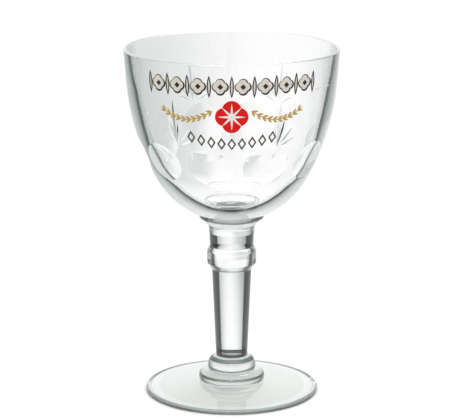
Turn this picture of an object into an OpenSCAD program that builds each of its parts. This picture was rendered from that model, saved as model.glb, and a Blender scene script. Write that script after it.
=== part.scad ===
// Chalice beer glass: a cut bowl on a flared collar, a short upper stem, a knop, a tapering stem,
// two rounded steps and a broad foot, with fired enamel decoration on the front of the bowl.
// Lengths are millimetres and angles are degrees. Z is up from the table, and the decorated front
// faces -Y. Heights stack from the table, so each piece stands on the one below it.

/* [Foot] */
// Diameter across the foot's rounded edge
foot_diameter = 87.2; // [80:0.2:94]
// Radius of the edge's rounding
foot_edge_round = 0.9; // [0.7:0.05:1.2]
// Height of the edge's middle above the table
foot_edge_height = 1.5; // [1.3:0.05:1.8]
// Height of the foot under the lower step
foot_rise = 5.5; // [4.5:0.1:7]
// Distance from the edge inwards to the ring that stands on the table
foot_undercut = 2.6; // [2:0.1:4]
// Width of that ring
ring_land = 4; // [2:0.5:6]
// Depth of the hollow inside the ring
hollow_depth = 1; // [0.6:0.1:1.6]
// Width of the flat land round the lower step
step_land = 0.5; // [0.2:0.1:1.5]

/* [Steps] */
// Diameter of the lower step
lower_dome_diameter = 33.4; // [31:0.2:36]
// Radius of its rounded side
lower_dome_round = 3.8; // [3.2:0.1:4.4]
// Height of its widest line above the foot
lower_dome_swell = 2; // [1.4:0.1:2.6]
// Diameter of the upper step
upper_dome_diameter = 24.4; // [23:0.2:26]
// Radius of its rounded side
upper_dome_round = 5.3; // [4.6:0.1:5.8]
// Height of its widest line above the lower step
upper_dome_swell = 2; // [1.4:0.1:2.6]
// Turn of the rounded sides where each step closes
dome_close = 77; // [74:1:80]

/* [Stem] */
// Stem diameter at the bottom
stem_bottom_diameter = 16; // [14.5:0.5:17]
// Stem diameter under the knop
stem_top_diameter = 20; // [18.5:0.5:21]
// Length of the lower stem
lower_stem_length = 45.4; // [38:0.2:54]
// Diameter of the upper stem on the knop
upper_stem_diameter = 21.8; // [20.6:0.2:22]
// Diameter of the upper stem under the collar
upper_stem_top_diameter = 22.6; // [21.6:0.2:23.6]
// Length of the upper stem
upper_stem_length = 7; // [5:0.5:10]

/* [Knop] */
// Diameter of the knop's band
knop_diameter = 24.6; // [23.8:0.2:27]
// Height of the band
knop_band = 6.5; // [5:0.1:8]
// Inward run and height of the lower chamfer
knop_lower_chamfer = [2.1, 3]; // [1:0.1:4]
// Inward run and height of the upper chamfer
knop_upper_chamfer = [1.2, 2.3]; // [0.6:0.1:3]
// Radius of the band's bulge
knop_bulge = 40; // [25:5:80]

/* [Collar] */
// Height of the collar's upright foot
collar_upright = 1; // [0.6:0.1:1.6]
// Radius of the hollow curve above it, as a share of the step out from the stem to the bowl
collar_hollow_share = 1.28; // [1.1:0.02:1.4]
// Height of the collar above its upright foot, as a share of the same step out
collar_flare_share = 1.76; // [1.5:0.01:1.8]
// Radius of the lip's rounding
collar_lip = 1.2; // [1:0.05:1.4]
// Turn on the lip's rounding where the bowl sits
collar_lip_turn = 42; // [36:1:60]

/* [Bowl outside] */
// Outer diameter at the rim
rim_diameter = 107.2; // [106:0.2:109]
// Radius of the rim's fire-polished edge
rim_round = 0.75; // [0.7:0.01:0.85]
// Turn of the outer wall from upright below the rim
rim_turn = 4.4; // [4.2:0.1:4.8]
// Length of the straight outer wall below the rim, as a share of the rim's diameter
rim_straight_share = 0.147; // [0.14:0.001:0.155]
// Radius of the long curve below that, as a share of the rim's diameter
upper_curve_share = 1.12; // [1.1:0.005:1.15]
// Turn of the wall where the long curve ends
shoulder_turn = 28.5; // [28:0.1:29]
// Radius of the lower curve, as a share of the rim's diameter
lower_curve_share = 0.424; // [0.42:0.001:0.43]
// Turn of the wall at the collar
seat_turn = 67; // [66:0.2:68]

/* [Bowl inside] */
// Turn of the inner wall from upright below the rim
inner_rim_turn = 9; // [8.8:0.1:9.2]
// Radius of the inner wall's long curve, as a share of the rim's diameter
inner_upper_share = 2.11; // [2.05:0.01:2.16]
// Turn of the inner wall where the long curve ends
inner_shoulder_turn = 21; // [20.6:0.1:21.4]
// Radius of the inner wall's lower curve, as a share of the rim's diameter
inner_lower_share = 0.42; // [0.414:0.001:0.426]
// Turn of the inner wall where the rounded bottom starts
inner_floor_turn = 54; // [52:0.5:56]
// Thickness of the glass in the middle of the bottom
floor_thickness = 2.1; // [1.7:0.1:2.6]

/* [Ground cuts] */
// Number of ovals round the lower wall
oval_count = 10; // [6:1:10]
// Angle of the first oval from the front
oval_start = 22.5; // [0:0.5:36]
// Height of the ovals' middle, as a share of the bowl's height
oval_place_share = 0.386; // [0.36:0.002:0.42]
// Radius of the stone that grinds them
oval_stone = 50; // [40:1:70]
// Width of that stone
oval_stone_width = 26; // [25:0.5:28]
// Depth of an oval in its middle
oval_depth = 1.5; // [0.8:0.1:1.7]
// Number of sprays above the ovals
spray_count = 6; // [3:1:8]
// Angle of the first spray from the front
spray_start = 27; // [0:1:60]
// Height of a spray's root, as a share of the bowl's height
spray_place_share = 0.504; // [0.49:0.002:0.54]
// Length of the spray's upright stalk
stalk_length = 24; // [18:0.5:26]
// Depth of the stalk
stalk_depth = 0.7; // [0.5:0.05:0.9]
// Leaves on each side of the stalk
leaf_count = 3; // [1:1:3]
// Turn of the first leaf from the stalk
leaf_first_turn = 10; // [8:1:16]
// Turn added by each further leaf
leaf_step_turn = 27; // [18:1:30]
// Length of the first leaf
leaf_length = 12; // [9:0.5:14]
// Shortening of each further leaf
leaf_shortening = 2; // [0:0.25:3]
// Distance from the root to the leaves
leaf_gap = 2.6; // [2:0.1:5]
// Depth of the leaves
leaf_depth = 0.5; // [0.3:0.05:0.7]
// Full angle of the mitre wheel's edge
mitre_angle = 105; // [90:1:120]
// Width of the mitre wheel
mitre_width = 5; // [4:0.5:8]

/* [Enamel] */
// Gap that keeps a layer clear of what it lies on
enamel_gap = 0.03; // [0.02:0.01:0.05]
// Thickness of a fired layer
enamel_layer = 0.1; // [0.06:0.01:0.12]
// Width of the drawn lines
line_width = 0.6; // [0.4:0.05:0.8]
// Shift that makes the frieze's lines thicker on their lower right side
line_shade = 0.2; // [0:0.05:0.25]
// Distance from the rim down to the frieze's middle
frieze_drop = 10.6; // [9:0.2:14]
// Number of rosettes in the frieze
frieze_units = 8; // [4:1:9]
// Angle from one rosette to the next
frieze_turn = 11.8; // [10:0.2:13]
// Width of a rosette, as a share of the way to the next one
rosette_share = 0.75; // [0.6:0.01:0.78]
// Radius of a rosette's lobe, as a share of its width
rosette_lobe_share = 0.29; // [0.27:0.01:0.33]
// Height of the leaf between two rosettes
frieze_leaf = 11; // [8:0.5:12]
// Width of that leaf, as a share of the gap between the rosettes
frieze_leaf_share = 0.8; // [0.6:0.05:0.95]
// Distance from the frieze down to the badge
badge_clearance = 1.2; // [0.6:0.1:4]
// Diameter of the badge over two lobes
badge_size = 16; // [12:0.5:18]
// Distance from the badge to a garland
garland_clearance = 3.2; // [2:0.1:6]
// Length of a garland along the wall
garland_length = 25.3; // [18:0.1:30]
// Height of a garland's ends above the badge's middle
garland_rise = 2; // [0:0.5:3]
// Sag of the garland in its middle
garland_sag = 4; // [2:0.5:5]
// Steps along each garland
garland_steps = 9; // [5:1:11]
// Length of a garland's leaf
garland_leaf = 3.2; // [2:0.1:4]
// Width of a garland's leaf
garland_leaf_width = 1.1; // [0.8:0.1:1.6]
// Width of the garland's cord
garland_cord = 0.5; // [0.4:0.05:0.8]
// Distance from the badge down to the lower row
row_clearance = 2.6; // [1.5:0.1:4]
// Number of diamonds in the lower row
row_count = 9; // [5:2:11]
// Distance between two diamonds
row_gap = 0.7; // [0.5:0.05:1.5]
// Width and height of a diamond
row_diamond = [4.2, 6.4]; // [3:0.1:7.5]
// Rise of the row's ends
row_rise = 3; // [0:0.5:5]
// Distance from the rim down to the measuring line
fill_drop = 14.8; // [13:0.1:20]
// Thickness of the measuring line
fill_width = 0.6; // [0.4:0.1:1]
// Distance from the frieze's end to the measuring line
fill_clearance = 1.5; // [1:0.1:4]
// Length of the measuring line
fill_length = 13; // [8:0.5:18]

/* [Output] */
// The piece to build

/* [Hidden] */
$fn = 96;
fine_count = 360;
arc_step_angle = 2.5;
rim_steps = 12;
cord_overlap_share = 1.3;
over = 5;
reach = 5;
right_angle = 90;
full_turn = 360;
glass = "LightCyan";

// Unit vector out of a wall that is turned inwards from upright by this angle, as [radius, height]
function outward(turn) = [cos(turn), -sin(turn)];
// Unit vector down along that wall
function downward(turn) = [-sin(turn), -cos(turn)];
// Angle at which the lower tangent leaves a point for a round edge that lies outwards of it
function tangent_angle(point, centre, radius, side) =
    let (d = centre - point) atan2(d.y, d.x) + side * asin(radius / norm(d));

// Heights of the pieces, each above the one below
lower_dome_height = lower_dome_swell + lower_dome_round * sin(dome_close);
neck_cosine = (stem_bottom_diameter / 2 - upper_dome_diameter / 2 + upper_dome_round) / upper_dome_round;
upper_dome_height = upper_dome_swell + upper_dome_round * sin(min(dome_close, acos(neck_cosine)));
knop_height = knop_lower_chamfer.y + knop_band + knop_upper_chamfer.y;
lower_dome_z = foot_rise;
upper_dome_z = lower_dome_z + lower_dome_height;
lower_stem_z = upper_dome_z + upper_dome_height;
knop_z = lower_stem_z + lower_stem_length;
upper_stem_z = knop_z + knop_height;
collar_z = upper_stem_z + upper_stem_length;

// The outer wall as a chain from the rim down: a straight wall, a long curve, a lower curve.
// It is worked out below a rim at height 0 and then stands on the collar.
rim_straight = rim_straight_share * rim_diameter;
upper_curve = upper_curve_share * rim_diameter;
lower_curve = lower_curve_share * rim_diameter;
rim_centre = [rim_diameter / 2 - rim_round, -rim_round];
wall_top = rim_centre + rim_round * outward(rim_turn);
wall_end = wall_top + rim_straight * downward(rim_turn);
upper_centre = wall_end - upper_curve * outward(rim_turn);
shoulder = upper_centre + upper_curve * outward(shoulder_turn);
lower_centre = shoulder - lower_curve * outward(shoulder_turn);
seat = lower_centre + lower_curve * outward(seat_turn);
bowl_height = -seat.y;

// The collar steps out from the stem to the bowl's seat, and the bowl stands on it
collar_step = seat.x - upper_stem_top_diameter / 2;
collar_height = collar_upright + collar_flare_share * collar_step;
seat_z = collar_z + collar_height;
bowl_z = seat_z + bowl_height;

// Places of the cuts and of the enamel, as heights above the collar
oval_height = oval_place_share * bowl_height;
spray_height = spray_place_share * bowl_height;
frieze_height = bowl_height - frieze_drop;
badge_height = frieze_height - frieze_leaf / 2 - badge_clearance - badge_size / 2;
garland_height = badge_height + garland_rise;
row_height = badge_height - badge_size / 2 - row_clearance - row_diamond.y / 2;
fill_height = bowl_height - fill_drop;
rim_degree = PI * rim_diameter / full_turn;
frieze_step = rim_degree * frieze_turn;
rosette_width = rosette_share * frieze_step;
leaf_width = frieze_leaf_share * (frieze_step - rosette_width);
garland_start = (badge_size / 2 + garland_clearance) / rim_degree;
garland_turn = garland_length / rim_degree;
fill_start = frieze_units / 2 * frieze_turn + (leaf_width / 2 + fill_clearance) / rim_degree;
fill_end = fill_start + fill_length / rim_degree;

// The inner wall in the same way, its straight length set by the bottom's thickness
inner_upper_curve = inner_upper_share * rim_diameter;
inner_lower_curve = inner_lower_share * rim_diameter;
inner_top = rim_centre - rim_round * outward(inner_rim_turn);
inner_radius_drop = inner_upper_curve * (cos(inner_rim_turn) - cos(inner_shoulder_turn))
    + inner_lower_curve * (cos(inner_shoulder_turn) - cos(inner_floor_turn));
inner_height_drop = inner_upper_curve * (sin(inner_shoulder_turn) - sin(inner_rim_turn))
    + inner_lower_curve * (sin(inner_floor_turn) - sin(inner_shoulder_turn));
floor_rate = tan((right_angle - inner_floor_turn) / 2);
floor_drop = inner_height_drop + floor_rate * (inner_top.x - inner_radius_drop);
inner_straight = (inner_top.y - floor_drop - seat.y - floor_thickness)
    / (cos(inner_rim_turn) - floor_rate * sin(inner_rim_turn));
inner_end = inner_top + inner_straight * downward(inner_rim_turn);
inner_upper_centre = inner_end - inner_upper_curve * outward(inner_rim_turn);
inner_shoulder = inner_upper_centre + inner_upper_curve * outward(inner_shoulder_turn);
inner_lower_centre = inner_shoulder - inner_lower_curve * outward(inner_shoulder_turn);
inner_edge = inner_lower_centre + inner_lower_curve * outward(inner_floor_turn);
floor_radius = inner_edge.x / cos(inner_floor_turn);
floor_centre = inner_edge - floor_radius * outward(inner_floor_turn);

// Turn and radius of the outer wall at a height above the collar
function wall_turn(height) =
    let (z = height + seat.y)
    z > wall_end.y ? rim_turn
    : z > shoulder.y ? asin((upper_centre.y - z) / upper_curve)
    : asin((lower_centre.y - z) / lower_curve);
function wall_radius(height) =
    let (z = height + seat.y, turn = wall_turn(height))
    z > wall_end.y ? wall_end.x + (z - wall_end.y) * tan(rim_turn)
    : z > shoulder.y ? upper_centre.x + upper_curve * cos(turn)
    : lower_centre.x + lower_curve * cos(turn);
// Curvature of the wall along a direction turned from upright
function wall_bend(height, turn) =
    pow(cos(turn), 2) / upper_curve + pow(sin(turn), 2) * cos(wall_turn(height)) / wall_radius(height);
// Radius of the wheel that leaves a cut of this length and depth
function wheel_radius(height, turn, length, depth) =
    1 / max(8 * depth / pow(length, 2) - wall_bend(height, turn), 1 / (6 * upper_curve));

// A list without its first entry
function behead(points) = [for (i = [1 : len(points) - 1]) points[i]];

// Points along a wall's arc between two turns, without the first one
function arc_points(centre, radius, from, to) =
    let (steps = ceil(abs(to - from) / arc_step_angle))
    [for (i = [1 : steps]) centre + radius * outward(from + (to - from) * i / steps)];

// The outer wall grown outwards, from the rim down to the collar
function outer_points(grow) =
    concat([wall_top + grow * outward(rim_turn), wall_end + grow * outward(rim_turn)],
           arc_points(upper_centre, upper_curve + grow, rim_turn, shoulder_turn),
           arc_points(lower_centre, lower_curve + grow, shoulder_turn, seat_turn));

// The inner wall, from the middle of the bottom up to the rim
function inner_points() =
    concat([[0, floor_centre.y - floor_radius]],
           arc_points(floor_centre, floor_radius, right_angle, inner_floor_turn),
           arc_points(inner_lower_centre, inner_lower_curve, inner_floor_turn, inner_shoulder_turn),
           arc_points(inner_upper_centre, inner_upper_curve, inner_shoulder_turn, inner_rim_turn));

// The rim's rounded edge, from the inner wall over the top to the outer wall
function rim_points() =
    [for (i = [0 : rim_steps])
        let (angle = 2 * right_angle - inner_rim_turn
                 - (2 * right_angle - inner_rim_turn + rim_turn) * i / rim_steps)
        rim_centre + rim_round * [cos(angle), sin(angle)]];

// The space under the grown outer wall, filled to the axis
module bowl_outline(grow) {
    polygon(concat([[0, seat.y], [0, wall_top.y]], outer_points(grow)));
}

// Places a tool on the outer wall: its own X points out of the glass and its own Z up along the wall
module on_wall(angle, height) {
    rotate([0, 0, angle - right_angle])
        translate([wall_radius(height), 0, seat_z + height])
            rotate([0, wall_turn(height), 0])
                children();
}

// A mitre cut, made by a wheel with a V edge that stands across the glass
module mitre_cut(height, side, turn, length, depth) {
    radius = wheel_radius(height, turn, length, depth);
    edge = mitre_width / 2 / tan(mitre_angle / 2);
    angle = asin(side / wall_radius(height));
    on_wall(angle, height)
        rotate([-turn, 0, 0])
            intersection() {
                cube([4 * depth, mitre_width, length + mitre_width], center = true);
                translate([radius - depth, 0, 0])
                    for (face = [0, 1])
                        mirror([0, face, 0])
                            rotate([-right_angle, 0, 0])
                                cylinder(h = mitre_width / 2, r1 = radius, r2 = radius - edge);
            }
}

// A spray: one upright stalk and leaves that fan out from its root
module spray() {
    mitre_cut(spray_height + stalk_length / 2, 0, 0, stalk_length, stalk_depth);
    for (hand = [-1, 1], leaf = [1 : leaf_count]) {
        turn = leaf_first_turn + (leaf - 1) * leaf_step_turn;
        length = leaf_length - (leaf - 1) * leaf_shortening;
        middle = leaf_gap + length / 2;
        mitre_cut(spray_height + middle * cos(turn), hand * middle * sin(turn), hand * turn, length, leaf_depth);
    }
}

// An oval, ground by the flat face of a round stone that lies across the wall
module oval_cut() {
    on_wall(0, oval_height)
        intersection() {
            cube([4 * oval_depth, oval_stone_width, oval_stone_width], center = true);
            translate([oval_stone - oval_depth, 0, 0])
                rotate([right_angle, 0, 0])
                    cylinder(h = oval_stone_width, r = oval_stone, center = true);
        }
}

module bowl() {
    color(glass)
        difference() {
            translate([0, 0, bowl_z])
                rotate_extrude()
                    polygon(concat([[0, seat.y]], inner_points(), rim_points(), behead(outer_points(0))));
            for (i = [0 : oval_count - 1])
                rotate([0, 0, oval_start + i * full_turn / oval_count]) oval_cut();
            for (i = [0 : spray_count - 1])
                rotate([0, 0, spray_start + i * full_turn / spray_count]) spray();
        }
}

module collar() {
    stem = upper_stem_top_diameter / 2;
    collar_hollow = collar_hollow_share * collar_step;
    lip_centre = [seat.x, collar_height] - collar_lip * [cos(collar_lip_turn), sin(collar_lip_turn)];
    hollow_centre = [stem + collar_hollow, collar_upright];
    flank = hollow_centre + collar_hollow * [-sin(right_angle / 2), cos(right_angle / 2)];
    rise = lip_centre.y - flank.y;
    color(glass)
        translate([0, 0, collar_z])
            rotate_extrude()
                intersection() {
                    square([seat.x + collar_lip, collar_height]);
                    union() {
                        difference() {
                            polygon([[0, 0], [stem, 0], [stem, collar_upright], [flank.x, collar_upright],
                                     flank, flank + [rise, rise], [seat.x, collar_height + over],
                                     [0, collar_height + over]]);
                            translate(hollow_centre) circle(collar_hollow);
                        }
                        translate(lip_centre) circle(collar_lip);
                    }
                }
}

module upper_stem() {
    color(glass)
        translate([0, 0, upper_stem_z])
            cylinder(h = upper_stem_length, d1 = upper_stem_diameter, d2 = upper_stem_top_diameter);
}

module knop() {
    radius = knop_diameter / 2;
    band_bottom = knop_lower_chamfer.y;
    band_top = band_bottom + knop_band;
    swell = knop_bulge - sqrt(pow(knop_bulge, 2) - pow(knop_band / 2, 2));
    color(glass)
        translate([0, 0, knop_z])
            rotate_extrude() {
                polygon([[0, 0], [radius - knop_lower_chamfer.x, 0], [radius, band_bottom], [radius, band_top],
                         [radius - knop_upper_chamfer.x, knop_height], [0, knop_height]]);
                intersection() {
                    translate([radius + swell - knop_bulge, band_bottom + knop_band / 2])
                        circle(knop_bulge, $fn = fine_count);
                    translate([0, band_bottom]) square([radius + knop_band, knop_band]);
                }
            }
}

module lower_stem() {
    color(glass)
        translate([0, 0, lower_stem_z])
            cylinder(h = lower_stem_length, d1 = stem_bottom_diameter, d2 = stem_top_diameter);
}

// A step with a rounded side, cut flat where it stands and where it closes
module dome(radius, side, swell, height) {
    rotate_extrude()
        intersection() {
            square([radius + over, height]);
            union() {
                square([radius - side, height]);
                translate([radius - side, swell]) circle(side);
            }
        }
}

module upper_dome() {
    color(glass)
        translate([0, 0, upper_dome_z])
            dome(upper_dome_diameter / 2, upper_dome_round, upper_dome_swell, upper_dome_height);
}

module lower_dome() {
    color(glass)
        translate([0, 0, lower_dome_z])
            dome(lower_dome_diameter / 2, lower_dome_round, lower_dome_swell, lower_dome_height);
}

module foot() {
    centre = [foot_diameter / 2 - foot_edge_round, foot_edge_height];
    ring = [foot_diameter / 2 - foot_undercut, 0];
    land = [lower_dome_diameter / 2 + step_land, foot_rise];
    under = tangent_angle(ring, centre, foot_edge_round, -1);
    above = tangent_angle(land, centre, foot_edge_round, 1);
    hollow = ring.x - ring_land;
    hollow_radius = (pow(hollow, 2) + pow(hollow_depth, 2)) / (2 * hollow_depth);
    color(glass)
        rotate_extrude()
            difference() {
                union() {
                    polygon([[0, 0], ring, centre + foot_edge_round * [sin(under), -cos(under)], centre,
                             centre + foot_edge_round * [-sin(above), cos(above)], land, [0, foot_rise]]);
                    translate(centre) circle(foot_edge_round);
                }
                translate([0, hollow_depth - hollow_radius]) circle(hollow_radius, $fn = 2 * fine_count);
            }
}

// A fired layer: what its motifs cover of a thin shell round the bowl
module layer(level, from, to) {
    inside = enamel_gap + level * (enamel_gap + enamel_layer);
    intersection() {
        translate([0, 0, bowl_z])
            rotate_extrude()
                intersection() {
                    difference() {
                        bowl_outline(inside + enamel_layer);
                        bowl_outline(inside);
                    }
                    translate([0, seat.y + from]) square([rim_diameter, to - from]);
                }
        union() children();
    }
}

// Stands a flat motif up in front of the bowl, at an angle from the front
module on_front(angle, height) {
    rotate([0, 0, angle])
        translate([0, 0, seat_z + height])
            rotate([right_angle, 0, 0])
                translate([0, 0, wall_radius(height) - reach])
                    linear_extrude(2 * reach) children();
}

// A pointed leaf: what two circles share
module leaf(length, width) {
    radius = (pow(length, 2) + pow(width, 2)) / (4 * width);
    intersection() {
        translate([0, radius - width / 2]) circle(radius, $fn = 2 * fine_count);
        translate([0, width / 2 - radius]) circle(radius, $fn = 2 * fine_count);
    }
}

module diamond(width, height) {
    polygon([[-width / 2, 0], [0, -height / 2], [width / 2, 0], [0, height / 2]]);
}

// Four round lobes
module rosette(size) {
    lobe = rosette_lobe_share * size;
    for (i = [0 : 3]) rotate(i * right_angle) translate([size / 2 - lobe, 0]) circle(lobe);
}

module frieze_units() {
    for (i = [0 : frieze_units - 1])
        on_front((i - (frieze_units - 1) / 2) * frieze_turn, frieze_height) children();
}

module frieze_gaps() {
    for (i = [0 : frieze_units])
        on_front((i - frieze_units / 2) * frieze_turn, frieze_height) children();
}

module frieze_ground() {
    color("Linen")
        layer(0, frieze_height - frieze_leaf, bowl_height + wall_top.y) {
            frieze_units() rosette(rosette_width);
            frieze_gaps() rotate(right_angle) leaf(frieze_leaf, leaf_width);
        }
}

module frieze_line() {
    color("DimGray")
        layer(1, frieze_height - frieze_leaf, bowl_height + wall_top.y) {
            frieze_units()
                difference() {
                    rosette(rosette_width);
                    translate([-line_shade, line_shade]) rosette(rosette_width - 2 * line_width);
                }
            frieze_units() diamond(rosette_width / 3, rosette_width / 3);
            frieze_gaps()
                rotate(right_angle)
                    difference() {
                        leaf(frieze_leaf, leaf_width);
                        leaf(frieze_leaf - 4 * line_width, leaf_width - 2 * line_width);
                    }
        }
}

module badge_ground() {
    color("Crimson")
        layer(0, badge_height - badge_size, badge_height + badge_size)
            on_front(0, badge_height) rosette(badge_size);
}

module badge_motif() {
    ray = badge_size / 2 - 2 * line_width;
    color("White")
        layer(1, badge_height - badge_size, badge_height + badge_size)
            on_front(0, badge_height) {
                for (i = [0 : 3]) rotate(i * right_angle / 2) leaf(2 * ray, 2 * line_width);
                circle(2 * line_width);
            }
}

// The garland's steps, each with its share of the cord and a leaf above and below it
module garland_half(hand) {
    for (i = [0 : garland_steps]) {
        t = i / garland_steps;
        angle = garland_start + t * garland_turn;
        height = garland_height - 4 * garland_sag * t * (1 - t);
        step = garland_turn / garland_steps * wall_radius(height) * PI / right_angle / 2;
        slope = atan2(-4 * garland_sag * (1 - 2 * t) / garland_steps, step);
        on_front(hand * angle, height)
            rotate(hand * slope) {
                square([step * cord_overlap_share, garland_cord], center = true);
                for (up = [-1, 1])
                    translate([0, up * (garland_leaf_width + garland_cord) / 2])
                        rotate(hand * up * right_angle / 3) leaf(garland_leaf, garland_leaf_width);
            }
    }
}

module garland() {
    color("Goldenrod")
        layer(0, garland_height - 3 * garland_sag, garland_height + 2 * garland_sag)
            for (hand = [-1, 1]) garland_half(hand);
}

module lower_row() {
    middle = (row_count - 1) / 2;
    row_turn = (row_diamond.x + row_gap) / (PI * wall_radius(row_height)) * 2 * right_angle;
    color("SlateGray")
        layer(0, row_height - row_diamond.y, row_height + row_diamond.y + row_rise)
            for (i = [0 : row_count - 1])
                on_front((i - middle) * row_turn, row_height + row_rise * pow((i - middle) / middle, 2))
                    difference() {
                        diamond(row_diamond.x, row_diamond.y);
                        diamond(row_diamond.x - 3 * line_width, row_diamond.y - 3 * line_width * row_diamond.y / row_diamond.x);
                    }
}

module fill_line() {
    color("White")
        layer(0, fill_height - fill_width / 2, fill_height + fill_width / 2)
            translate([0, 0, seat_z])
                linear_extrude(bowl_height)
                    polygon([[0, 0], rim_diameter * [sin(fill_start), -cos(fill_start)],
                             rim_diameter * [sin(fill_end), -cos(fill_end)]]);
}

bowl();
collar();
upper_stem();
knop();
lower_stem();
upper_dome();
lower_dome();
foot();
frieze_ground();
frieze_line();
badge_ground();
badge_motif();
garland();
lower_row();
fill_line();
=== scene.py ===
"""Chalice beer glass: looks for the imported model. Lengths of the glass are millimetres; those of
the floor, lights and camera are metres."""

import math

import bmesh
import bpy
from mathutils import Matrix, Vector


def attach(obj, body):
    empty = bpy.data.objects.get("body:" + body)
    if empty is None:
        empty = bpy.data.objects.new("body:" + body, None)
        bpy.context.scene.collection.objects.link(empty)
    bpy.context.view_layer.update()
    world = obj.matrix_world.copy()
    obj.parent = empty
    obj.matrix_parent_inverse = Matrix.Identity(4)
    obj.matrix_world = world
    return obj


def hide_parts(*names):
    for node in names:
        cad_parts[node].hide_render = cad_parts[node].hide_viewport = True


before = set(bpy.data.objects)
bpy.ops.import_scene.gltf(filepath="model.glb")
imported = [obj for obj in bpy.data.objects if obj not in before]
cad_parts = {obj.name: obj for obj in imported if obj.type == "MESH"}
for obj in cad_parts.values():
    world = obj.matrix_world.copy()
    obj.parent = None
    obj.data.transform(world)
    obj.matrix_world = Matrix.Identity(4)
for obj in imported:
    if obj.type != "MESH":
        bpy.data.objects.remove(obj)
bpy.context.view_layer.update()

MM = 0.001
STEPS = 256  # steps of a full turn
ARC_STEP = 1.0  # degrees along an arc of an outline
TINY_STEP = 8  # degrees along the small rounds of rim, lip and foot
SAME = 1e-7  # metres under which two radii or heights are one
MERGE, GROUND_MERGE = 1e-6, 2e-6  # metres under which points are merged
SHARED = 1e-4  # millimetres under which two runs of an outline share a point
LEVEL = 0.999  # a face whose normal is this upright lies level
SHARP = math.radians(22)  # an edge that turns further than this stays sharp
GLASS, FUSED, EDGE, CUT, THIN, BRIM = range(6)  # material indices on a glass piece


def linear(code):
    """A hex colour as the linear numbers that a shader takes."""
    parts = [int(code[i : i + 2], 16) / 255 for i in (1, 3, 5)]
    return tuple(
        c / 12.92 if c <= 0.04045 else ((c + 0.055) / 1.055) ** 2.4 for c in parts
    ) + (1.0,)


# Outlines as (radius, height), from the same sizes as the solids


def outward(turn):
    """Unit vector out of a wall that leans in from upright by this many degrees."""
    a = math.radians(turn)
    return Vector((math.cos(a), -math.sin(a)))


def downward(turn):
    """Unit vector down along that wall."""
    a = math.radians(turn)
    return Vector((-math.sin(a), -math.cos(a)))


def along_arc(centre, radius, start, end, step=ARC_STEP):
    """Points on an arc between two turns, both ends included."""
    count = max(2, math.ceil(abs(end - start) / step))
    return [
        centre + radius * outward(start + (end - start) * i / count)
        for i in range(count + 1)
    ]


def straight_line(r0, r1, length, rows):
    """A tapering side in rows of equal height."""
    return [Vector((r0 + (r1 - r0) * i / rows, length * i / rows)) for i in range(rows + 1)]


def join(*runs):
    """One outline from several runs, each shared point once."""
    points = []
    for run in runs:
        for p in run:
            if not points or (p - points[-1]).length > SHARED:
                points.append(p)
    return points


FOOT_R, EDGE_ROUND, EDGE_Z, FOOT_RISE = 43.6, 0.9, 1.5, 5.5
RING_R, RING_LAND, HOLLOW = 41.0, 4.0, 1.0
STEP_LAND = 0.5
LOWER_R, LOWER_ROUND, LOWER_SWELL = 16.7, 3.8, 2.0
UPPER_R, UPPER_ROUND, UPPER_SWELL = 12.2, 5.3, 2.0
DOME_CLOSE = 77.0
STEM_R0, STEM_R1, STEM_LENGTH, STEM_ROWS = 8.0, 10.0, 45.4, 28
NECK_R0, NECK_R1, NECK_LENGTH, NECK_ROWS = 10.9, 11.3, 7.0, 4
KNOP_R, KNOP_BAND, KNOP_BULGE = 12.3, 6.5, 40.0
KNOP_LOW, KNOP_TOP = (2.1, 3.0), (1.2, 2.3)
COLLAR_FOOT, HOLLOW_SHARE, FLARE_SHARE, LIP, LIP_TURN = 1.0, 1.28, 1.76, 1.2, 42.0
RIM_R, RIM_ROUND = 53.6, 0.75
RIM_WIDTH = 2 * RIM_R  # the bowl's curves are shares of it

LOWER_Z = FOOT_RISE
UPPER_Z = LOWER_Z + LOWER_SWELL + LOWER_ROUND * math.sin(math.radians(DOME_CLOSE))
neck_turn = math.degrees(math.acos((STEM_R0 - UPPER_R + UPPER_ROUND) / UPPER_ROUND))
STEM_Z = UPPER_Z + UPPER_SWELL + UPPER_ROUND * math.sin(math.radians(neck_turn))
KNOP_Z = STEM_Z + STEM_LENGTH
NECK_Z = KNOP_Z + KNOP_LOW[1] + KNOP_BAND + KNOP_TOP[1]
COLLAR_Z = NECK_Z + NECK_LENGTH
lower_start = LOWER_R - LOWER_ROUND + LOWER_ROUND * math.cos(math.asin(LOWER_SWELL / LOWER_ROUND))
upper_start = UPPER_R - UPPER_ROUND + UPPER_ROUND * math.cos(math.asin(UPPER_SWELL / UPPER_ROUND))

# The bowl's walls: a straight run below the rim, a long arc and a tighter one. lean, shoulder,
# seat and floor are the degrees from upright at which they meet.
rim_centre = Vector((RIM_R - RIM_ROUND, -RIM_ROUND))
OUTER = dict(
    lean=4.4,
    straight=0.147 * RIM_WIDTH,
    upper=1.12 * RIM_WIDTH,
    shoulder=28.5,
    lower=0.424 * RIM_WIDTH,
    seat=67.0,
)
INNER = dict(
    lean=9.0,
    upper=2.11 * RIM_WIDTH,
    shoulder=21.0,
    lower=0.42 * RIM_WIDTH,
    floor=54.0,
    bottom=2.1,
)
wall_top = rim_centre + RIM_ROUND * outward(OUTER["lean"])
wall_end = wall_top + OUTER["straight"] * downward(OUTER["lean"])
upper_centre = wall_end - OUTER["upper"] * outward(OUTER["lean"])
shoulder = upper_centre + OUTER["upper"] * outward(OUTER["shoulder"])
lower_centre = shoulder - OUTER["lower"] * outward(OUTER["shoulder"])
seat = lower_centre + OUTER["lower"] * outward(OUTER["seat"])
BOWL_H = -seat.y
COLLAR_HOLLOW = HOLLOW_SHARE * (seat.x - NECK_R1)
COLLAR_H = COLLAR_FOOT + FLARE_SHARE * (seat.x - NECK_R1)
SEAT_Z = COLLAR_Z + COLLAR_H
RIM_Z = SEAT_Z + BOWL_H


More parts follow.
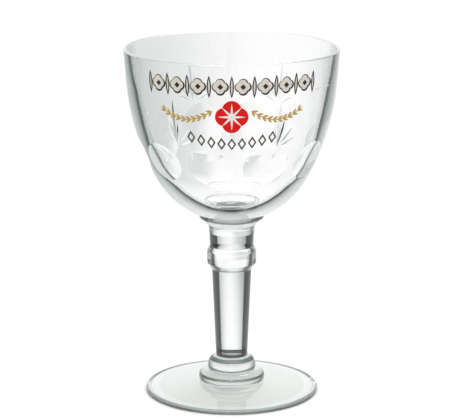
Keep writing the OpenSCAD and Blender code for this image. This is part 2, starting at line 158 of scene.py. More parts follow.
def inner_wall():
    """The inner wall from the middle of the bottom up to the rim. The straight run below the rim
    is as long as it takes for the three arcs to end at the bottom's thickness."""
    lean, turn, floor = (math.radians(INNER[k]) for k in ("lean", "shoulder", "floor"))
    top = rim_centre - RIM_ROUND * outward(INNER["lean"])
    in_run = INNER["upper"] * (math.cos(lean) - math.cos(turn)) + INNER["lower"] * (
        math.cos(turn) - math.cos(floor)
    )
    drop = INNER["upper"] * (math.sin(turn) - math.sin(lean)) + INNER["lower"] * (
        math.sin(floor) - math.sin(turn)
    )
    rate = (1 - math.sin(floor)) / math.cos(floor)
    straight = (top.y - drop - rate * (top.x - in_run) - seat.y - INNER["bottom"]) / (
        math.cos(lean) - rate * math.sin(lean)
    )
    end = top + straight * downward(INNER["lean"])
    c1 = end - INNER["upper"] * outward(INNER["lean"])
    p = c1 + INNER["upper"] * outward(INNER["shoulder"])
    c2 = p - INNER["lower"] * outward(INNER["shoulder"])
    edge = c2 + INNER["lower"] * outward(INNER["floor"])
    radius = edge.x / math.cos(floor)
    c3 = edge - radius * outward(INNER["floor"])
    return join(
        along_arc(c3, radius, 90, INNER["floor"], 2 * ARC_STEP),
        along_arc(c2, INNER["lower"], INNER["floor"], INNER["shoulder"]),
        along_arc(c1, INNER["upper"], INNER["shoulder"], INNER["lean"]),
        [top],
    )


def outer_wall():
    """The outer wall from the rim down to the collar."""
    return join(
        [wall_top],
        along_arc(upper_centre, OUTER["upper"], OUTER["lean"], OUTER["shoulder"]),
        along_arc(lower_centre, OUTER["lower"], OUTER["shoulder"], OUTER["seat"]),
    )


def bowl_outline():
    """Inner wall, rounded rim and outer wall in one run, with the rim at height 0."""
    rim = along_arc(rim_centre, RIM_ROUND, INNER["lean"] - 180, OUTER["lean"], TINY_STEP)
    return join(inner_wall(), rim, outer_wall())


def tangent(point, centre, radius, side):
    """Direction of the line from a point that touches a circle on one side."""
    d = centre - point
    return math.atan2(d.y, d.x) + side * math.asin(radius / d.length)


def foot_outline():
    """Hollow underside, standing ring, rounded edge and sloping top."""
    centre, ring = Vector((FOOT_R - EDGE_ROUND, EDGE_Z)), Vector((RING_R, 0))
    land = Vector((LOWER_R + STEP_LAND, FOOT_RISE))
    low, high = tangent(ring, centre, EDGE_ROUND, -1), tangent(land, centre, EDGE_ROUND, 1)
    hollow = RING_R - RING_LAND
    radius = (hollow**2 + HOLLOW**2) / (2 * HOLLOW)
    middle = Vector((0, HOLLOW - radius))
    reach = math.degrees(math.acos(hollow / radius))
    under = along_arc(middle, radius, -90, -reach, ARC_STEP / 2)
    start, end = 90 - math.degrees(low), -90 - math.degrees(high)
    edge = along_arc(centre, EDGE_ROUND, start, end, TINY_STEP)
    return join(under, [Vector((hollow, 0)), ring], edge, [land])


def dome_outline(radius, side, swell, close):
    """One rounded step, from its widest part's foot over to where the next piece stands."""
    centre = Vector((radius - side, swell))
    start = math.degrees(math.asin(swell / side))
    return along_arc(centre, side, start, -close, 3 * ARC_STEP)


def knop_outline():
    """A chamfer, a slightly bulging band and another chamfer."""
    low, top = KNOP_LOW[1], KNOP_LOW[1] + KNOP_BAND
    bulge = math.degrees(math.asin(KNOP_BAND / 2 / KNOP_BULGE))
    centre = Vector((KNOP_R - KNOP_BULGE * math.cos(math.radians(bulge)), low + KNOP_BAND / 2))
    return join(
        [Vector((KNOP_R - KNOP_LOW[0], 0))],
        along_arc(centre, KNOP_BULGE, bulge, -bulge, 1.5 * ARC_STEP),
        [Vector((KNOP_R - KNOP_TOP[0], top + KNOP_TOP[1]))],
    )


def collar_outline():
    """A hollow curve, a 45 degree flank and a rounded lip."""
    lip_centre = Vector((seat.x, COLLAR_H)) - LIP * outward(-LIP_TURN)
    hollow_centre = Vector((NECK_R1 + COLLAR_HOLLOW, COLLAR_FOOT))
    curve = along_arc(hollow_centre, COLLAR_HOLLOW, 180, 225, 3 * ARC_STEP)
    flank = curve[-1]
    # where the flank meets the lip's round
    d = flank - lip_centre
    b = (d.x + d.y) / math.sqrt(2)
    t = -b - math.sqrt(b * b - d.length_squared + LIP**2)
    hit = flank + t * Vector((1, 1)) / math.sqrt(2)
    turn = -math.degrees(math.atan2(hit.y - lip_centre.y, hit.x - lip_centre.x))
    lip = along_arc(lip_centre, LIP, turn, -LIP_TURN, TINY_STEP)
    return join([Vector((NECK_R1, 0))], curve, lip)


# Building


def add_object(name, data):
    """Puts a mesh, light or camera into the scene."""
    ob = bpy.data.objects.new(name, data)
    bpy.context.scene.collection.objects.link(ob)
    return ob


def mesh_of(bm, name):
    """Turns a finished bmesh into a mesh and frees it."""
    mesh = bpy.data.meshes.new(name)
    bm.to_mesh(mesh)
    bm.free()
    return mesh


def creases(points, least=9):
    """Places along an outline where it turns by more than this many degrees."""
    found = []
    for i in range(1, len(points) - 1):
        a, b = points[i] - points[i - 1], points[i + 1] - points[i]
        if a.angle(b) > math.radians(least):
            found.append(i)
    return found


def soften(bm, corners, size):
    """Rounds the creases of an outline before it is spun, as fire polishing does."""
    if corners:
        bmesh.ops.bevel(
            bm,
            geom=corners,
            offset=size * MM,
            segments=4,
            profile=0.5,
            affect="VERTICES",
            material=-1,
        )


def shade_smooth(bm):
    """Smooth all over, but for sharp turns and where one material ends."""
    for f in bm.faces:
        f.smooth = True
    for e in bm.edges:
        if len(e.link_faces) == 2:
            one, two = e.link_faces
            same = one.material_index == two.material_index
            e.smooth = same and e.calc_face_angle(0) < SHARP


def turned(name, outline, height, bottom=None, top=None, softness=0.3, pick=None):
    """Spins an outline round Z. bottom and top are the radii where the neighbours are fused on,
    and pick gives a face's material index from its middle and normal."""
    bm = bmesh.new()
    points = [Vector((max(p.x, 0.0), p.y + height)) for p in outline]
    verts = [bm.verts.new((p.x * MM, 0, p.y * MM)) for p in points]
    for a, b in zip(verts, verts[1:]):
        bm.edges.new((a, b))
    soften(bm, [verts[i] for i in creases(points)], softness)
    ends = []
    for v, fused in ((verts[0], bottom), (verts[-1], top)):
        if fused is None:
            continue
        last = v
        for r in (fused, 0.0):  # the land outside the neighbour, then the fused disc
            if abs(last.co.x - r * MM) < SAME:
                continue
            new = bm.verts.new((r * MM, 0, v.co.z))
            bm.edges.new((last, new))
            last = new
        ends.append((v.co.z, fused * MM))
    bmesh.ops.spin(
        bm,
        geom=bm.verts[:] + bm.edges[:],
        cent=(0, 0, 0),
        axis=(0, 0, 1),
        angle=math.tau,
        steps=STEPS,
        use_merge=True,
    )
    bmesh.ops.remove_doubles(bm, verts=bm.verts[:], dist=MERGE)
    bmesh.ops.recalc_face_normals(bm, faces=bm.faces[:])
    for f in bm.faces:
        c = f.calc_center_median()
        flat = abs(f.normal.z) > LEVEL
        if flat and any(abs(c.z - z) < SAME and c.xy.length < r for z, r in ends):
            f.material_index = FUSED
        elif pick:
            f.material_index = pick(c / MM, f.normal)
    shade_smooth(bm)
    return add_object(name, mesh_of(bm, name))


# Materials

GLASS_IOR = 1.52


def new_material(name):
    """An empty node material."""
    m = bpy.data.materials.new(name)
    m.use_nodes = True
    m.node_tree.nodes.clear()
    return m


def put(tree, kind, links=(), out=None, tones=(), **settings):
    """Adds a node, sets its inputs and properties by name, and links sockets into it. tones are
    a ramp's stops, as (place, hex colour)."""
    node = tree.nodes.new(kind)
    for key, value in settings.items():
        if key.startswith("p_"):
            setattr(node, key[2:], value)
        else:
            wanted = key.replace("_", " ")
            socket = next(s for s in node.inputs if s.name == wanted and s.enabled)
            socket.default_value = value
    for target, source in dict(links).items():
        tree.links.new(source, node.inputs[target])
    if tones:
        stops = node.color_ramp.elements
        while len(stops) < len(tones):
            stops.new(1.0)
        for stop, (at, colour) in zip(stops, tones):
            stop.position, stop.color = at, linear(colour)
    return node if out is None else node.outputs[out]


def finish_with(m, shader):
    """Gives a material its finished shader."""
    put(m.node_tree, "ShaderNodeOutputMaterial", {"Surface": shader})
    return m


def pressed_glass(
    name, waviness, entry_shade, exit_shade, pass_from=None, shadow="#FAFBFA", swell_size=14
):
    """Soda-lime glass, pressed and fire-polished: clear, with painted shade where upright walls
    turn away from the eye, standing in for the dark that the glass bends in there; the faint
    grey-green in it is the glass's own. The first list of (how far a wall turns away, hex colour)
    paints that shade on light that enters there, and the second on light that leaves. Light that
    leaves where the wall turns further than pass_from goes on unbent, so a thin wall doesn't trap
    it. Slow swells of the surface, swell_size millimetres across, bend what is seen through it."""
    m = new_material(name)
    t = m.node_tree
    place = put(t, "ShaderNodeTexCoord", out="Object")
    surface = put(t, "ShaderNodeNewGeometry")
    inside = surface.outputs["Backfacing"]
    lean = put(t, "ShaderNodeSeparateXYZ", {"Vector": surface.outputs["Normal"]}, "Z")
    flat = put(t, "ShaderNodeMath", {0: lean, 1: lean}, 0, p_operation="MULTIPLY")
    upright = put(t, "ShaderNodeMath", {1: flat}, 0, p_operation="SUBTRACT")
    upright.node.inputs[0].default_value = 1.0
    # painted shade: the further a wall turns from the eye, the darker the ramps below paint the
    # glass
    edge = put(t, "ShaderNodeLayerWeight", out="Facing", Blend=0.5)
    turned_away = put(t, "ShaderNodeMath", {0: edge, 1: upright}, 0, p_operation="MULTIPLY")
    painted_shades = [
        put(t, "ShaderNodeValToRGB", {"Fac": weight}, "Color", tones)
        for weight, tones in ((turned_away, entry_shade), (edge, exit_shade))
    ]
    painted_shade = put(
        t, "ShaderNodeMix", {0: inside, 6: painted_shades[0], 7: painted_shades[1]}, p_data_type="RGBA"
    )
    per_metre = 1 / (swell_size * MM)
    swell = put(t, "ShaderNodeTexNoise", {"Vector": place}, "Fac", Scale=per_metre, Detail=1.0)
    bump = put(t, "ShaderNodeBump", {"Height": swell}, "Normal", Strength=waviness, Distance=MM)
    glass = put(
        t,
        "ShaderNodeBsdfPrincipled",
        {"Base Color": painted_shade.outputs[2], "Normal": bump},
        "BSDF",
        Roughness=0.0,
        IOR=GLASS_IOR,
        Transmission_Weight=1.0,
    )
    if pass_from is not None:
        beyond = put(t, "ShaderNodeMath", {0: edge}, 0, p_operation="GREATER_THAN")
        beyond.node.inputs[1].default_value = pass_from
        passing = put(t, "ShaderNodeMath", {0: beyond, 1: inside}, 0, p_operation="MULTIPLY")
        unbent = put(t, "ShaderNodeBsdfTransparent", {"Color": painted_shades[1]}, "BSDF")
        glass = put(t, "ShaderNodeMixShader", {0: passing, 1: glass, 2: unbent}, "Shader")
    # light on its way to the paper goes straight through, with no caustics to wait for
    clear = put(t, "ShaderNodeBsdfTransparent", out="BSDF", Color=linear(shadow))
    rays = put(t, "ShaderNodeLightPath")
    lighting = put(
        t,
        "ShaderNodeMath",
        {0: rays.outputs["Is Shadow Ray"], 1: rays.outputs["Is Diffuse Ray"]},
        0,
        p_operation="MAXIMUM",
    )
    mixed = put(t, "ShaderNodeMixShader", {0: lighting, 1: glass, 2: clear}, "Shader")
    return finish_with(m, mixed)


def fused_joint():
    """Inside of a hot joint, where two gathers have become one glass: nothing shows there."""
    m = new_material("fused_joint")
    return finish_with(
        m, put(m.node_tree, "ShaderNodeBsdfPrincipled", out="BSDF", Alpha=0.0)
    )


def fired_enamel(name, colour, shade, roughness):
    """Screen-printed enamel, fired on: a full flat colour with a soft gloss, slightly uneven in
    thickness and tone."""
    m = new_material(name)
    t = m.node_tree
    place = put(t, "ShaderNodeTexCoord", out="Object")
    # a screen's threads leave ripples about 0.1 mm apart, too fine to show: here 0.9 per mm
    thin = put(t, "ShaderNodeTexNoise", {"Vector": place}, "Fac", Scale=0.9 / MM, Detail=2.0)
    tone = put(t, "ShaderNodeMix", {"Factor": thin}, p_data_type="RGBA")
    tone.inputs[6].default_value, tone.inputs[7].default_value = linear(colour), linear(shade)
    height = 0.05 * MM
    bump = put(t, "ShaderNodeBump", {"Height": thin}, "Normal", Strength=0.25, Distance=height)
    enamel = put(
        t,
        "ShaderNodeBsdfPrincipled",
        {"Base Color": tone.outputs[2], "Normal": bump},
        "BSDF",
        Roughness=roughness,
        IOR=1.25,  # fired pigment mirrors less than bare glass
    )
    return finish_with(m, enamel)


CRITICAL = 0.2465  # how far a wall turns away where glass of this IOR starts to reflect all light

# Painted shade: how each glass is darkened as its wall turns away from the eye, as (how far the
# wall turns away, hex colour), in place of the dark the glass bends in from around it. The faint
# grey-green in these is the glass's own.

STEM_SHADE = [
    (0.02, "#F4F5F4"),
    (0.05, "#EEF0EF"),
    (0.107, "#D8DBD9"),
    (0.16, "#BCC1BE"),
    (0.22, "#999F9C"),
    (0.25, "#858B88"),
    (0.285, "#080A09"),
    (0.7, "#101312"),
    (1.0, "#4A504D"),
]
STEM_INNER = [(0.14, "#FFFFFF"), (0.2, "#C4CAC8"), (0.245, "#4A524F")]
STEP_SHADE = [
    (0.05, "#FFFFFF"),
    (0.25, "#F1F3F2"),
    (0.42, "#A9B1AD"),
    (0.55, "#3A403E"),
    (1.0, "#5A615E"),
]
STEP_INNER = [(0.17, "#FFFFFF"), (0.215, "#D0D5D3"), (0.245, "#6E7673")]
SHOULDER_SHADE = [(0.0, "#7A8280"), (0.15, "#4A514E"), (0.35, "#1E2220")]
RING_SHADE = [(0.0, "#1A1D1C"), (1.0, "#101312")]
KNOP_SHADE = [
    (0.2, "#FFFFFF"),
    (0.28, "#A9B1AD"),
    (0.33, "#1E2220"),
    (0.43, "#1E2220"),
    (0.55, "#8E9593"),
    (1.0, "#A9B1AD"),
]
LIP_SHADE = [(0.0, "#7A8280"), (0.3, "#3A403E"), (1.0, "#2A302E")]
LIP_INNER = [(0.0, "#E6E9E8"), (0.3, "#C4CAC8")]
FOOT_SHADE = [(0.0, "#FFFFFF"), (0.6, "#FAFBFA"), (0.85, "#C4CAC8"), (1.0, "#56605C")]
UNDER_SHADE = [(0.12, "#F7F8F8"), (0.2, "#F1F3F2"), (0.25, "#E9ECEB"), (0.3, "#DFE3E1")]
BRIM_SHADE = [(0.0, "#8E9593"), (0.3, "#7A8280")]
EDGE_TINT_AND_SHADE = [(0.0, "#9AA19E"), (0.3, "#56605C"), (1.0, "#3A423F")]
BOWL_SHADE = [
    (0.2, "#FFFFFF"),
    (0.38, "#E9ECEB"),
    (0.6, "#CCD1CF"),
    (0.92, "#BCC2C0"),
    (1.0, "#9AA19E"),
]
BOWL_INNER = [(0.2, "#FFFFFF"), (0.247, "#F1F3F2")]
BORE_SHADE = [(0.3, "#FFFFFF"), (0.8, "#FAFBFA"), (1.0, "#E9ECEB")]
# painted shade: a thin dark line where the bore's wall turns far from the eye
BORE_LINE = [
    (0.225, "#FFFFFF"),
    (0.238, "#C4CAC8"),
    (0.2455, "#2E3432"),
    (0.247, "#3A403E"),
    (0.256, "#3A403E"),
    (0.268, "#A9B1AD"),
    (0.3, "#DFE3E1"),
]
CUT_SHADE = [(0.1, "#FFFFFF"), (0.6, "#F4F6F5"), (1.0, "#C4CAC8")]
CUT_INNER = [(0.2, "#FFFFFF"), (0.3, "#D0D5D3")]

# A solid rod bends the room inwards; here that is painted shade: a pale middle between two
# near-black borders
stem_glass = pressed_glass("fire_polished_stem_glass_painted_shade", 0.03, STEM_SHADE, STEM_INNER)
# The steps are short thick lenses: clear in front, with grey painted shade where they turn aside
step_glass = pressed_glass("fire_polished_step_glass_painted_shade", 0.05, STEP_SHADE, STEP_INNER)
# Their shoulders look back into the glass: a soft dark band of painted shade round each
shoulder_glass = pressed_glass(
    "fire_polished_shoulder_glass_painted_shade", 0.2, SHOULDER_SHADE, SHOULDER_SHADE, swell_size=6
)
# The stem's end, pinched where it was joined: a thin dark ring of painted shade
ring_glass = pressed_glass("pinched_joint_glass_painted_shade", 0.1, RING_SHADE, RING_SHADE)
# The knop, pinched while hot: bright, with a dark upright line of painted shade near each side
knop_glass = pressed_glass("pinched_knop_glass_painted_shade", 0.15, KNOP_SHADE, STEP_INNER, swell_size=4)
# The collar's thick lip, marked by the tool and so slightly uneven; its dark grey-green is painted
# shade
lip_glass = pressed_glass("pinched_collar_glass_painted_shade", 0.7, LIP_SHADE, LIP_INNER, swell_size=2.5)
# The foot's broad top: the paper shows through it almost unchanged, with a little painted shade
# only where it turns furthest from the eye
foot_glass = pressed_glass("fire_polished_foot_glass_painted_shade", 0.05, FOOT_SHADE, FOOT_SHADE)
# The outer brim of that top, uneven from the press, with painted shade: a grey ring
brim_glass = pressed_glass("uneven_brim_glass_painted_shade", 0.9, BRIM_SHADE, FOOT_SHADE, swell_size=3)
# The foot's rounded edge, which light crosses the long way: partly the glass's own green, partly
# painted shade, dark grey-green with a dark line below
edge_glass = pressed_glass(
    "thick_edge_glass_green_and_painted_shade", 0.5, EDGE_TINT_AND_SHADE, EDGE_TINT_AND_SHADE, shadow="#4A514E", swell_size=5
)
# The bowl's rim and the foot's underside bend nothing: a faint grey skin of painted shade, dark at
# its very ends
thin_glass = pressed_glass("thin_skin_glass_painted_shade", 0.0, FOOT_SHADE, UNDER_SHADE, pass_from=-1.0)
# The bowl's outer wall, smooth from the fire: clear in front, with grey-green painted shade
# towards the outline
bowl_glass = pressed_glass("fire_polished_bowl_glass_painted_shade", 0.04, BOWL_SHADE, BOWL_INNER, CRITICAL)
# Its blown inside: clear, with a thin dark line of painted shade that shows how thick the wall is
bore_glass = pressed_glass("blown_bore_glass_painted_shade", 0.04, BORE_SHADE, BORE_LINE, CRITICAL)
# The polished cuts: small clear lenses, with grey painted shade where they are steep
cut_glass = pressed_glass("polished_cut_glass_painted_shade", 0.08, CUT_SHADE, CUT_INNER, CRITICAL)
joint = fused_joint()

# Glass pieces


def skins(skin, edge_skin):
    """A glass piece's materials, in the order of their indices."""
    return skin, joint, edge_skin or skin, cut_glass, thin_glass, brim_glass


def dress(ob, node, skin, edge_skin=None):
    """Gives a piece its glass, hides the solid it stands for and hangs the piece under the root.
    """
    for m in skins(skin, edge_skin):
        ob.data.materials.append(m)
    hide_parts(node)
    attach(ob, "root")


BRIM_WIDTH, EDGE_WIDTH = 5.0, 2.5 * EDGE_ROUND
ROUND_SIDE = 0.97  # a normal less upright than this belongs to the foot's rounded edge
# faces on the shoulders between these bands take a dark band of painted shade
LOWER_BAND, UPPER_BAND = (0.15, 0.5), (0.55, 0.87)  # how upright the dark shoulders' normals are
RING_H, LIP_H = 1.6, 2.5
BORE_MIDDLE = 3.0  # radius within which the bowl's floor faces straight up

# Each of these gives a face's material index from its middle, in millimetres, and its normal; the
# edge, brim and thin faces they pick take those glasses' painted shade


def foot_skin(c, normal):
    if c.xy.length > FOOT_R - EDGE_WIDTH and abs(normal.z) < ROUND_SIDE:
        return EDGE
    if normal.z < 0:
        return THIN
    return BRIM if c.xy.length > FOOT_R - BRIM_WIDTH else GLASS


def lower_skin(c, normal):
    return EDGE if LOWER_BAND[0] < normal.z < LOWER_BAND[1] else GLASS


def upper_skin(c, normal):
    return EDGE if UPPER_BAND[0] < normal.z < UPPER_BAND[1] else GLASS


def stem_skin(c, normal):
    return EDGE if c.z < STEM_Z + RING_H else GLASS


def collar_skin(c, normal):
    return EDGE if c.z > SEAT_Z - LIP_H else GLASS


def bowl_skin(c, normal):
    if c.z > RIM_Z - RIM_ROUND:
        return THIN
    return EDGE if c.xy.dot(normal.xy) < 0 or c.xy.length < BORE_MIDDLE else GLASS


foot = turned("foot_glass", foot_outline(), 0, top=lower_start, pick=foot_skin)
dress(foot, "foot", foot_glass, edge_glass)
lower_dome = turned(
    "lower_dome_glass",
    dome_outline(LOWER_R, LOWER_ROUND, LOWER_SWELL, DOME_CLOSE),
    LOWER_Z,
    bottom=lower_start,
    top=upper_start,
    pick=lower_skin,
)
dress(lower_dome, "lower_dome", step_glass, shoulder_glass)
upper_dome = turned(
    "upper_dome_glass",
    dome_outline(UPPER_R, UPPER_ROUND, UPPER_SWELL, neck_turn),
    UPPER_Z,
    bottom=upper_start,
    top=STEM_R0,
    pick=upper_skin,
)
dress(upper_dome, "upper_dome", step_glass, shoulder_glass)
lower_stem = turned(
    "lower_stem_glass",
    straight_line(STEM_R0, STEM_R1, STEM_LENGTH, STEM_ROWS),
    STEM_Z,
    bottom=STEM_R0,
    top=STEM_R1,
    pick=stem_skin,
)
dress(lower_stem, "lower_stem", stem_glass, ring_glass)
knop = turned("knop_glass", knop_outline(), KNOP_Z, bottom=STEM_R1, top=NECK_R0)
dress(knop, "knop", knop_glass)
upper_stem = turned(
    "upper_stem_glass",
    straight_line(NECK_R0, NECK_R1, NECK_LENGTH, NECK_ROWS),
    NECK_Z,
    bottom=NECK_R0,
    top=NECK_R1,
)
dress(upper_stem, "upper_stem", stem_glass)
collar = turned(
    "collar_glass", collar_outline(), COLLAR_Z, bottom=NECK_R1, top=seat.x, pick=collar_skin
)
dress(collar, "collar", step_glass, lip_glass)
bowl = turned("bowl_glass", bowl_outline(), RIM_Z, top=seat.x, softness=0.15, pick=bowl_skin)
dress(bowl, "bowl", bowl_glass, bore_glass)

# Ground cuts

OVALS, OVAL_START, OVAL_H = 10, 22.5, 0.386 * BOWL_H
STONE, STONE_WIDTH, STONE_SIDES, OVAL_DEPTH = 50.0, 26.0, 360, 1.5
SPRAYS, SPRAY_START, SPRAY_H = 6, 27.0, 0.504 * BOWL_H
STALK, STALK_DEPTH, LEAF, LEAF_LESS, LEAF_DEPTH = 24.0, 0.7, 12.0, 2.0, 0.5
LEAF_TURNS, LEAF_GAP, MITRE = (10.0, 37.0, 64.0), 2.6, 105.0
REACH = 0.5  # how far a wheel's section stands out of the glass
RUN_OUT = 1.0  # how far a wheel's arc goes on past each end of its cut
LARGEST_WHEEL, WHEEL_STEPS = 6 * OUTER["upper"], 24


def wall_turn(z):
    """How many degrees the outer wall leans in at a height under the rim."""
    if z > wall_end.y:
        return OUTER["lean"]
    if z > shoulder.y:
        return math.degrees(math.asin((upper_centre.y - z) / OUTER["upper"]))
    return math.degrees(math.asin((lower_centre.y - z) / OUTER["lower"]))


def wall_radius(z):
    """Radius of the outer wall at a height under the rim."""
    turn = math.radians(wall_turn(z))
    if z > wall_end.y:
        return wall_end.x + (z - wall_end.y) * math.tan(turn)
    if z > shoulder.y:
        return upper_centre.x + OUTER["upper"] * math.cos(turn)
    return lower_centre.x + OUTER["lower"] * math.cos(turn)


def on_wall(angle, height):
    """Turns and moves a tool to the outer wall: its X points out of the glass and its Z up."""
    z = height + seat.y
    return (
        Matrix.Rotation(math.radians(angle - 90), 4, "Z")
        @ Matrix.Translation((wall_radius(z) * MM, 0, (SEAT_Z + height) * MM))
        @ Matrix.Rotation(math.radians(wall_turn(z)), 4, "Y")
    )


def add_oval_stone(bm, angle):
    """The part of a round stone that grinds one oval."""
    made = bmesh.ops.create_cone(
        bm,
        cap_ends=True,
        segments=STONE_SIDES,
        radius1=STONE * MM,
        radius2=STONE * MM,
        depth=STONE_WIDTH * MM,
    )
    place = (
        on_wall(angle, OVAL_H)
        @ Matrix.Translation(((STONE - OVAL_DEPTH) * MM, 0, 0))
        @ Matrix.Rotation(math.pi / 2, 4, "X")
    )
    bmesh.ops.transform(bm, matrix=place, verts=made["verts"])


def add_mitre(bm, spray, hand, leaf):
    """The part of a V-edged wheel that makes one cut of a spray: the stalk, where leaf is None, or
    a leaf on one hand of it."""
    if leaf is None:
        up, side, turn, length, depth = SPRAY_H + STALK / 2, 0.0, 0.0, STALK, STALK_DEPTH
    else:
        turn = hand * LEAF_TURNS[leaf]
        length, depth = LEAF - LEAF_LESS * leaf, LEAF_DEPTH
        middle = LEAF_GAP + length / 2
        up = SPRAY_H + middle * math.cos(math.radians(turn))
        side = middle * math.sin(math.radians(turn))
    z = up + seat.y
    t = math.radians(turn)
    # the wall bends away along the cut, so the wheel is larger, to keep the cut's length
    bend = math.cos(t) ** 2 / OUTER["upper"] + math.sin(t) ** 2 * math.cos(
        math.radians(wall_turn(z))
    ) / wall_radius(z)
    radius = 1 / max(8 * depth / length**2 - bend, 1 / LARGEST_WHEEL)
    half = (depth + REACH) * math.tan(math.radians(MITRE / 2))
    swing = math.asin((length / 2 + RUN_OUT) / radius)
    old = set(bm.verts)
    edge = [bm.verts.new((-depth * MM, 0, 0))]
    edge += [bm.verts.new((REACH * MM, w * MM, 0)) for w in (half, -half)]
    section = bm.faces.new(edge)
    hub = ((radius - depth) * MM, 0, 0)
    bmesh.ops.rotate(bm, cent=hub, matrix=Matrix.Rotation(-swing, 3, "Y"), verts=edge)
    bmesh.ops.spin(
        bm,
        geom=[section, *section.edges, *edge],
        cent=hub,
        axis=(0, 1, 0),
        angle=2 * swing,
        steps=WHEEL_STEPS,
    )
    angle = spray + math.degrees(math.asin(side / wall_radius(z)))
    place = on_wall(angle, up) @ Matrix.Rotation(-t, 4, "X")
    bmesh.ops.transform(bm, matrix=place, verts=[v for v in bm.verts if v not in old])


def grind(target, tools):
    """Cuts the bowl with one set of tools that don't touch each other."""
    bm = bmesh.new()
    for add, words in tools:
        add(bm, *words)
    bmesh.ops.recalc_face_normals(bm, faces=bm.faces[:])
    for f in bm.faces:
        f.material_index = CUT
        f.smooth = True
    tool = add_object("tool", mesh_of(bm, "tool"))
    for m in skins(bowl_glass, bore_glass):
        tool.data.materials.append(m)
    cut = target.modifiers.new("grind", "BOOLEAN")
    cut.object, cut.operation, cut.solver = tool, "DIFFERENCE", "MANIFOLD"
    done = bpy.data.meshes.new_from_object(
        target.evaluated_get(bpy.context.evaluated_depsgraph_get())
    )
    target.modifiers.clear()
    target.data = done
    bpy.data.objects.remove(tool)


# every second oval at a time, since neighbouring stones overlap
for shift in (0, 1):
    angles = [OVAL_START + i * 360 / OVALS for i in range(shift, OVALS, 2)]
    grind(bowl, [(add_oval_stone, (a,)) for a in angles])
spray_angles = [SPRAY_START + i * 360 / SPRAYS for i in range(SPRAYS)]
grind(bowl, [(add_mitre, (a, 1, None)) for a in spray_angles])
for hand in (-1, 1):
    for leaf in range(len(LEAF_TURNS)):
        grind(bowl, [(add_mitre, (a, hand, leaf)) for a in spray_angles])

bm = bmesh.new()
bm.from_mesh(bowl.data)
bmesh.ops.remove_doubles(bm, verts=bm.verts[:], dist=GROUND_MERGE)
shade_smooth(bm)
bm.to_mesh(bowl.data)
bm.free()
bowl.data.name = "bowl_glass"

# Enamel: flat colours with a soft gloss, each node's own firing, on the solids' own meshes

for node, (name, colour, shade, rough) in {
    "frieze_ground": ("pale_fired_enamel", "#E6E0D6", "#D3CCC0", 0.25),
    "frieze_line": ("black_fired_enamel", "#231F1E", "#3A3432", 0.2),
    "badge_ground": ("red_fired_enamel", "#E2120E", "#D00E0B", 0.3),
    "badge_motif": ("white_fired_enamel", "#F4F1EC", "#E6E2DB", 0.2),
    "garland": ("matt_gold_enamel", "#C9A862", "#B08F49", 0.3),
    "lower_row": ("umber_fired_enamel", "#5B5048", "#473D37", 0.25),
    "fill_line": ("white_line_enamel", "#E9E9E6", "#DADAD6", 0.3),
}.items():
    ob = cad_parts[node]
    skin = fired_enamel(name, colour, shade, rough)
    for i in range(len(ob.data.materials)):
        ob.data.materials[i] = skin

# Floor: matt white paper, evenly white to the eye but for the glass's soft shadow

FLOOR_HALF = 6.0
SHADOW_REACH = (0.08, 0.3)  # from the glass out, where the shadow gives way to even white
# painted shade on the far sweep, which only the glass shows, comes in over this span
FAR_AWAY = (0.7, 1.1)  # from the glass out, where the far sweep's tone comes in
# painted shade on one side of the sweep, which only the glass shows, comes in over this span
ASIDE = (0.03, -0.1)  # along X, where the shaded side's tone comes in

bm = bmesh.new()
bmesh.ops.create_grid(bm, x_segments=1, y_segments=1, size=FLOOR_HALF)
floor = add_object("floor", mesh_of(bm, "floor"))
white_paper = new_material("white_paper_sweep")
t = white_paper.node_tree
rays = put(t, "ShaderNodeLightPath")
by_glass = rays.outputs["Is Glossy Ray"]  # seen through the glass or mirrored in it
seen = put(
    t, "ShaderNodeMath", {0: rays.outputs["Is Camera Ray"], 1: by_glass}, 0, p_operation="MAXIMUM"
)
spot = put(t, "ShaderNodeTexCoord", out="Object")
away = put(t, "ShaderNodeVectorMath", {0: spot}, "Value", p_operation="LENGTH")
even = put(
    t,
    "ShaderNodeMapRange",
    {"Value": away},
    "Result",
    From_Min=SHADOW_REACH[0],
    From_Max=SHADOW_REACH[1],
)
fade = put(t, "ShaderNodeMath", {0: even, 1: seen}, 0, p_operation="MULTIPLY")
# painted shade: the far sweep, as the glass shows it, is painted a little less white
far_tone = put(
    t, "ShaderNodeMapRange", {"Value": away}, "Result", From_Min=FAR_AWAY[0], From_Max=FAR_AWAY[1]
)
through = put(t, "ShaderNodeMath", {0: far_tone, 1: by_glass}, 0, p_operation="MULTIPLY")
tone = put(t, "ShaderNodeMix", {0: through}, p_data_type="RGBA")
tone.inputs[6].default_value, tone.inputs[7].default_value = linear("#FFFFFF"), linear("#FAFBFA")
# painted shade: one side of the sweep is painted a little darker, which only the glass shows
sideways = put(t, "ShaderNodeSeparateXYZ", {"Vector": spot}, "X")
aside = put(
    t,
    "ShaderNodeMapRange",
    {"Value": sideways},
    "Result",
    p_interpolation_type="SMOOTHSTEP",
    From_Min=ASIDE[0],
    From_Max=ASIDE[1],
)
shade = put(t, "ShaderNodeMath", {0: aside, 1: by_glass}, 0, p_operation="MULTIPLY")
tone = put(t, "ShaderNodeMix", {0: shade, 6: tone.outputs[2]}, p_data_type="RGBA")
tone.inputs[7].default_value = linear("#D8DCDA")
paper = put(t, "ShaderNodeBsdfDiffuse", out="BSDF", Color=linear("#F2F2F2"))
white = put(t, "ShaderNodeEmission", {"Color": tone.outputs[2]}, "Emission", Strength=1.0)
finish_with(white_paper, put(t, "ShaderNodeMixShader", {0: fade, 1: paper, 2: white}, 0))
floor.data.materials.append(white_paper)

# World: white to the eye, and a dim ceiling with its window to what the glass mirrors and bends

ROOM_LIGHT = 0.75
ROOM_TONES = [
    (0.0, "#FCFDFC"),
    (0.3, "#FAFBFA"),
    (0.5, "#DFE3E1"),
    (0.66, "#B4BAB8"),
    (0.84, "#B4BAB8"),
    (0.9, "#FFFFFF"),
]
WHITE = linear("#FFFFFF")

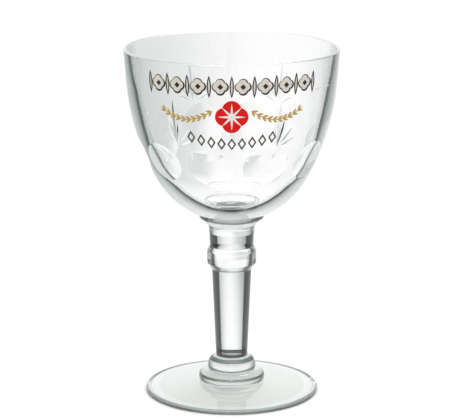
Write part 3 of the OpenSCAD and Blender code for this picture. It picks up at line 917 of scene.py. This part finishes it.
world = bpy.data.worlds.new("studio")
bpy.context.scene.world = world
world.use_nodes = True
t = world.node_tree
t.nodes.clear()
rays = put(t, "ShaderNodeLightPath")
direction = put(t, "ShaderNodeTexCoord", out="Generated")
height = put(t, "ShaderNodeSeparateXYZ", {"Vector": direction}, "Z")
room = put(t, "ShaderNodeValToRGB", {"Fac": height}, "Color", ROOM_TONES)
light = put(t, "ShaderNodeBackground", out=0, Color=WHITE, Strength=ROOM_LIGHT)
ceiling = put(t, "ShaderNodeBackground", {"Color": room}, 0, Strength=1.0)
backdrop = put(t, "ShaderNodeBackground", out=0, Color=WHITE, Strength=1.0)
lit = put(
    t, "ShaderNodeMixShader", {0: rays.outputs["Is Glossy Ray"], 1: light, 2: ceiling}, 0
)
all_round = put(
    t, "ShaderNodeMixShader", {0: rays.outputs["Is Camera Ray"], 1: lit, 2: backdrop}, 0
)
put(t, "ShaderNodeOutputWorld", {"Surface": all_round})

# Lights and camera


def aim_at(ob, place, target):
    """Puts a light or camera at a place and turns it to a point."""
    ob.location = place
    ob.rotation_euler = (Vector(target) - Vector(place)).to_track_quat("-Z", "Y").to_euler()


def softbox(name, place, target, size, watts):
    """A soft light with a rectangular face. The glass doesn't show it in what it bends."""
    data = bpy.data.lights.new(name, "AREA")
    data.shape, data.size, data.size_y, data.energy = "RECTANGLE", *size, watts
    ob = add_object(name, data)
    aim_at(ob, place, target)
    ob.visible_transmission = False


softbox("overhead", (0.1, 0.45, 1.2), (0, 0, 0.05), size=(0.7, 0.7), watts=8.5)
softbox("window", (0.0, -1.0, 1.0), (0, 0, 0.08), size=(0.08, 0.16), watts=1.5)

# fitted to the glass's outline and to the ellipses of its rim and foot
EYE_PLACE, EYE_TARGET = (0, -1.1204, 0.3586), (-0.00187, 0, 0.0938)
camera = bpy.data.cameras.new("camera")
camera.lens, camera.sensor_width = 180.55, 36.0
camera.clip_start, camera.clip_end = 0.05, 50.0
eye = add_object("camera", camera)
aim_at(eye, EYE_PLACE, EYE_TARGET)
bpy.context.scene.camera = eye
bpy.context.scene.view_settings.view_transform = "Standard"
